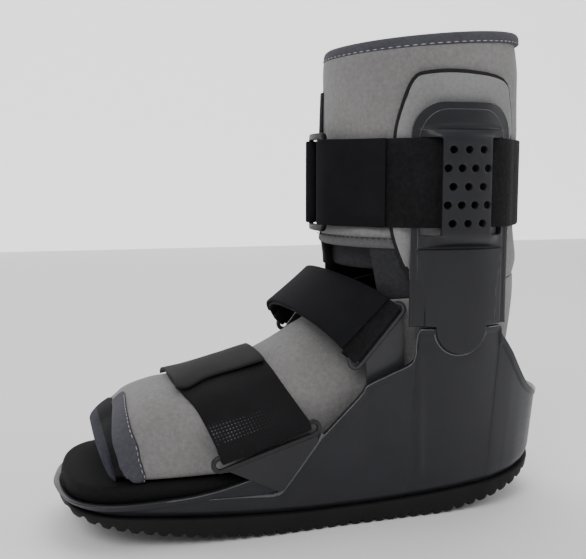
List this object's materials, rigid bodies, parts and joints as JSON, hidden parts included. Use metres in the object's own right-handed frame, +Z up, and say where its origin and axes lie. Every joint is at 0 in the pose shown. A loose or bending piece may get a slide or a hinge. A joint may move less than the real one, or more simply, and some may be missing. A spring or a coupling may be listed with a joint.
{
  "type": "short immobilizer boot",
  "caption": "Short orthopaedic walker boot: rocker sole, plastic shell with side uprights, padded open-toe liner and hook-and-loop straps.",
  "frame": {"origin": "on the ground under the middle of the boot's length, on the sole's centre line, where the rib face there rests", "axes": "+X from toe to heel, +Z up, -Y is the side seen in the picture"},
  "size_m": [0.306, 0.1421, 0.2866],
  "materials": {
    "sole_rubber": "matte black ribbed rubber",
    "shell_plastic": "satin charcoal plastic",
    "insole_foam": "matte black foam",
    "liner_fabric": "brushed grey loop fabric on foam",
    "binding_fabric": "slate stretch binding with a stitched edge",
    "tongue_fabric": "dark knitted fabric",
    "strut_plastic": "satin charcoal plastic",
    "pad_foam": "grey fabric-faced foam sheet with a dark cut edge",
    "strap_webbing": "black loop-faced webbing",
    "mesh_webbing": "black mesh webbing",
    "strap_end_fabric": "smooth dark strap end",
    "ring_plastic": "moulded black plastic"
  },
  "bodies": {
    "root": {"outsole": "sole_rubber", "shell": "shell_plastic", "insole_pad": "insole_foam", "liner_foot": "liner_fabric", "toe_binding": "binding_fabric", "liner_calf": "liner_fabric", "calf_binding": "binding_fabric", "calf_hem": "binding_fabric", "tongue": "tongue_fabric", "strut_left": "strut_plastic", "strut_right": "strut_plastic", "strut_pad_left": "pad_foam", "strut_pad_right": "pad_foam", "calf_strap": "strap_webbing", "calf_strap_tab": "strap_webbing", "calf_ring": "ring_plastic", "ankle_strap": "strap_webbing", "ankle_strap_end": "strap_end_fabric", "ankle_ring_left": "ring_plastic", "ankle_ring_right": "ring_plastic", "toe_strap": "mesh_webbing", "toe_strap_end": "strap_end_fabric", "toe_ring_left": "ring_plastic", "toe_ring_right": "ring_plastic"}
  },
  "joints": []
}
